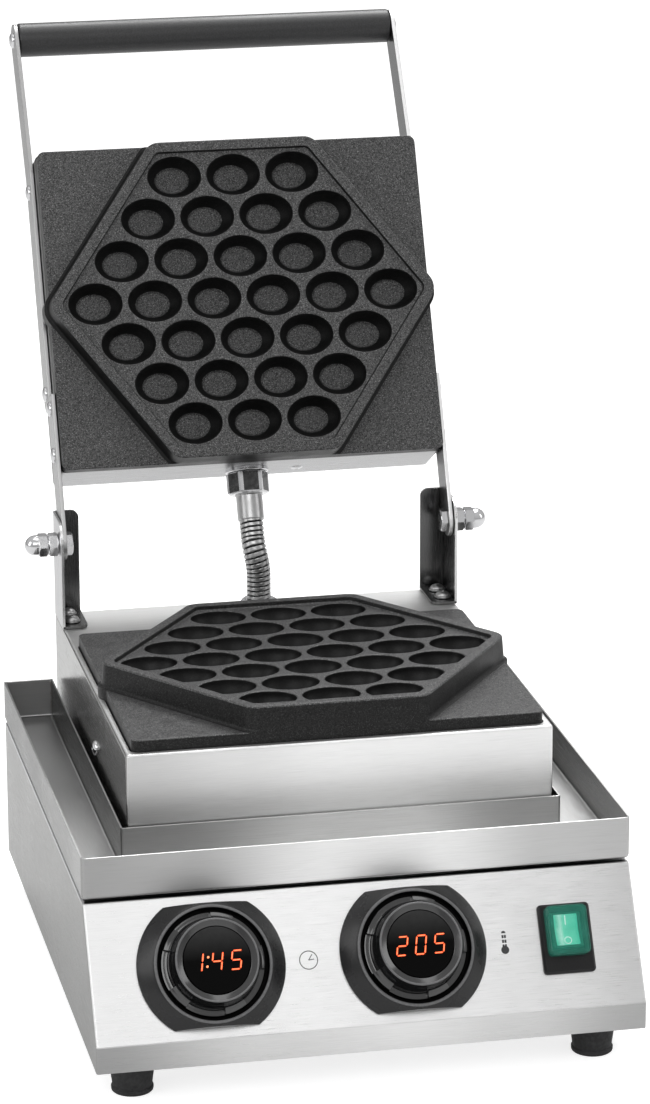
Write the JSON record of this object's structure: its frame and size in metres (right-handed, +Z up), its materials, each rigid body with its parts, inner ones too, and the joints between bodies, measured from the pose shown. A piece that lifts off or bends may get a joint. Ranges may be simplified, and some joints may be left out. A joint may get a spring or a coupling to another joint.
{
  "type": "bubble waffle maker",
  "caption": "Tabletop bubble waffle maker: hinged lid and base plates with hexagonal fields of oval cups, bar handle, U-shaped spill tray, sloped control panel with two display knobs and a switch.",
  "frame": {"origin": "on the ground, under the middle of the bounding box with the lid open", "axes": "+X to the machine's right side as seen from the front, -Y to the control panel, +Z up; the hinge axis runs along X"},
  "size_m": [0.315, 0.5242, 0.521],
  "materials": {
    "body_steel": "brushed stainless sheet",
    "bright_steel": "bright stainless hardware",
    "coated_casting": "cast aluminium with a charcoal non-stick coating",
    "heater_steel": "heat-tinted steel",
    "grip": "matt charcoal thermoset",
    "black_plastic": "satin black plastic",
    "display_window": "gloss black window with orange-red digits",
    "green_plastic": "translucent teal green",
    "foot_rubber": "black rubber",
    "board": "circuit board green"
  },
  "bodies": {
    "base": {"base_shell": "body_steel", "front_panel": "body_steel", "bottom_plate": "body_steel", "lower_housing": "body_steel", "controller_board": "board", "cord_gland": "black_plastic", "foot_front_left": "foot_rubber", "foot_front_right": "foot_rubber", "foot_rear_left": "foot_rubber", "foot_rear_right": "foot_rubber", "lower_plate": "coated_casting", "lower_heater": "heater_steel", "lower_clamp_plate": "heater_steel", "temperature_probe": "bright_steel", "hinge_bracket_left": "body_steel", "hinge_bracket_right": "body_steel", "hinge_bolt_left": "bright_steel", "hinge_bolt_right": "bright_steel", "hinge_nut_left": "bright_steel", "hinge_nut_right": "bright_steel", "cap_nut_left": "bright_steel", "cap_nut_right": "bright_steel", "bracket_screw_left_front": "bright_steel", "bracket_screw_left_rear": "bright_steel", "bracket_screw_right_front": "bright_steel", "bracket_screw_right_rear": "bright_steel", "deck_gland": "bright_steel", "conduit": "bright_steel", "timer_bezel": "black_plastic", "timer_display": "display_window", "temperature_bezel": "black_plastic", "temperature_display": "display_window", "switch_frame": "black_plastic", "switch_cover": "green_plastic"},
    "spill_tray": {"spill_tray": "body_steel"},
    "lid": {"lid_casing": "body_steel", "upper_plate": "coated_casting", "upper_heater": "heater_steel", "upper_clamp_plate": "heater_steel", "handle": "grip", "lid_gland": "bright_steel", "hinge_arm_left": "body_steel", "hinge_arm_right": "body_steel", "handle_arm_left": "body_steel", "handle_arm_right": "body_steel", "hinge_rivet_left_1": "bright_steel", "hinge_rivet_left_2": "bright_steel", "hinge_rivet_right_1": "bright_steel", "hinge_rivet_right_2": "bright_steel", "handle_rivet_left_1": "bright_steel", "handle_rivet_left_2": "bright_steel", "handle_rivet_right_1": "bright_steel", "handle_rivet_right_2": "bright_steel", "handle_screw_left": "bright_steel", "handle_screw_right": "bright_steel", "plate_screw_left": "bright_steel", "plate_screw_right": "bright_steel"},
    "timer_knob": {"timer_knob": "black_plastic"},
    "temperature_knob": {"temperature_knob": "black_plastic"},
    "switch_rocker": {"switch_rocker": "green_plastic"}
  },
  "joints": [
    {"name": "lid_hinge", "type": "hinge", "parent": "base", "child": "lid", "pos_m": [0, 0.08497, 0.2274], "axis": [1, 0, 0], "range_deg": [0, 115.2], "deforming": ["conduit"]},
    {"name": "tray_slide", "type": "slide", "parent": "base", "child": "spill_tray", "axis": [0, -1, 0], "range_m": [0, 0.3]},
    {"name": "timer_turn", "type": "hinge", "parent": "base", "child": "timer_knob", "pos_m": [-0.08871, -0.22941, 0.0726], "axis": [0, -0.8616, 0.5075], "continuous": true},
    {"name": "temperature_turn", "type": "hinge", "parent": "base", "child": "temperature_knob", "pos_m": [0.02631, -0.22941, 0.0726], "axis": [0, -0.8616, 0.5075], "continuous": true},
    {"name": "switch_rock", "type": "hinge", "parent": "base", "child": "switch_rocker", "pos_m": [0.1148, -0.22774, 0.07544], "axis": [1, 0, 0], "range_deg": [0, 10]}
  ]
}
